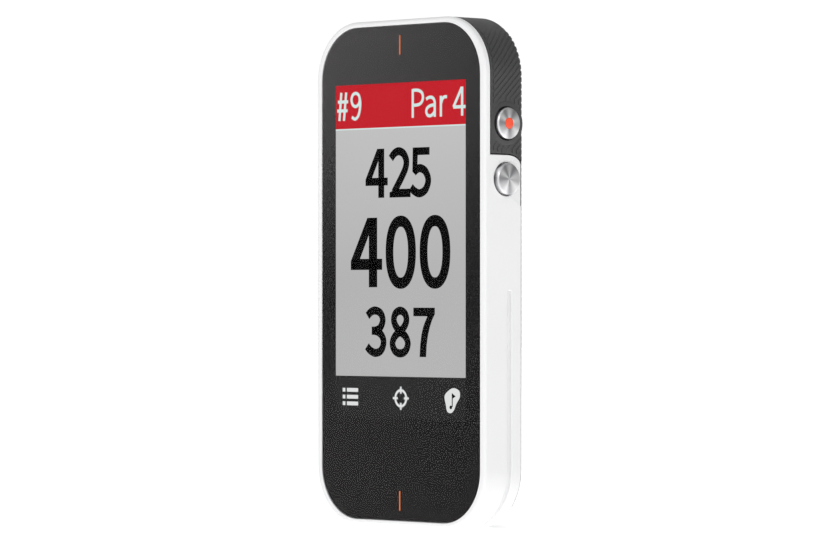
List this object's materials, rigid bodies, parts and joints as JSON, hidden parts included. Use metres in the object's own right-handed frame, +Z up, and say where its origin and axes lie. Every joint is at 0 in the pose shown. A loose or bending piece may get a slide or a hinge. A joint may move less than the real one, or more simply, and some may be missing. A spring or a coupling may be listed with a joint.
{
  "type": "golf launch monitor",
  "caption": "Hand-held golf launch monitor: upright rounded case with a touch display, two round side buttons, a ribbed radar cover and a covered charging port.",
  "frame": {"origin": "on the base, at the centre of the case's width and depth, where it stands on a surface", "axes": "+Z up towards the top of the display, -Y out of the screen, +X towards the side with the buttons"},
  "size_m": [0.0615, 0.026, 0.124],
  "materials": {
    "white_plastic": "moulded, satin",
    "ribbed_plastic": "fine raised ribs, satin",
    "cover_glass": "black bordered, polished",
    "touch_film": "clear film",
    "display_panel": "lit display",
    "backlight": "clear light guide",
    "adhesive": "black tape",
    "spun_aluminium": "turned face, bright chamfer",
    "orange_enamel": "enamel",
    "black_rubber": "matte",
    "tinned_steel": "stamped sheet",
    "black_steel": "black oxide",
    "brass": "knurled",
    "circuit_board": "solder mask",
    "antenna_laminate": "copper patches on laminate",
    "ceramic": "fired ceramic",
    "dark_plastic": "moulded",
    "cream_plastic": "moulded",
    "polyimide_film": "translucent film",
    "battery_wrap": "film wrapped cell",
    "foam": "closed-cell foam",
    "wire_sleeve": "flexible sleeve",
    "chassis_alloy": "cast magnesium, coated"
  },
  "bodies": {
    "case": {"front_housing": "white_plastic", "rear_housing": "ribbed_plastic", "case_seal": "black_rubber", "cover_glass": "cover_glass", "glass_adhesive": "adhesive", "touch_sensor": "touch_film", "display_panel": "display_panel", "backlight_unit": "backlight", "display_tray": "tinned_steel", "display_flex": "polyimide_film", "display_connector": "dark_plastic", "chassis": "chassis_alloy", "main_board": "circuit_board", "processor_chip": "dark_plastic", "rf_shield_can": "tinned_steel", "buzzer": "dark_plastic", "key_board": "circuit_board", "gps_bracket": "tinned_steel", "gps_antenna": "ceramic", "radar_board": "circuit_board", "radar_antenna_panel": "antenna_laminate", "radar_shield_can": "tinned_steel", "battery": "battery_wrap", "battery_tray": "dark_plastic", "battery_pad": "foam", "battery_connector": "cream_plastic", "battery_lead": "wire_sleeve", "usb_board": "circuit_board", "usb_receptacle": "tinned_steel", "usb_flap_anchor": "black_rubber", "vent_membrane": "foam", "upper_switch_body": "tinned_steel", "lower_switch_body": "tinned_steel", "case_screw_1": "black_steel", "thread_insert_1": "brass", "board_screw_1": "tinned_steel", "case_screw_2": "black_steel", "thread_insert_2": "brass", "board_screw_2": "tinned_steel", "case_screw_3": "black_steel", "thread_insert_3": "brass", "board_screw_3": "tinned_steel", "case_screw_4": "black_steel", "thread_insert_4": "brass", "board_screw_4": "tinned_steel", "radar_screw_1": "tinned_steel", "radar_screw_2": "tinned_steel"},
    "upper_key": {"upper_button": "spun_aluminium", "upper_button_dot": "orange_enamel", "upper_button_seal": "black_rubber", "upper_button_clip": "tinned_steel"},
    "lower_key": {"lower_button": "spun_aluminium", "lower_button_seal": "black_rubber", "lower_button_clip": "tinned_steel"},
    "upper_plunger": {"upper_switch_plunger": "dark_plastic"},
    "lower_plunger": {"lower_switch_plunger": "dark_plastic"},
    "port_flap": {"usb_flap": "black_rubber"}
  },
  "joints": [
    {"name": "upper_button_press", "type": "slide", "parent": "case", "child": "upper_key", "axis": [-1, 0, 0], "range_m": [0, 0.0004], "stiffness_N_per_m": 600, "springref_m": -0.0008},
    {"name": "upper_plunger_press", "type": "slide", "parent": "case", "child": "upper_plunger", "axis": [-1, 0, 0], "range_m": [0, 0.0004]},
    {"name": "lower_button_press", "type": "slide", "parent": "case", "child": "lower_key", "axis": [-1, 0, 0], "range_m": [0, 0.0004], "stiffness_N_per_m": 600, "springref_m": -0.0008},
    {"name": "lower_plunger_press", "type": "slide", "parent": "case", "child": "lower_plunger", "axis": [-1, 0, 0], "range_m": [0, 0.0004]},
    {"name": "usb_flap_hinge", "type": "hinge", "parent": "case", "child": "port_flap", "pos_m": [0, 0.013, 0.025], "axis": [1, 0, 0], "range_deg": [0, 110]}
  ],
  "couplings": [
    {"joint": "upper_plunger_press", "follows": "upper_button_press", "ratio": 1},
    {"joint": "lower_plunger_press", "follows": "lower_button_press", "ratio": 1}
  ]
}
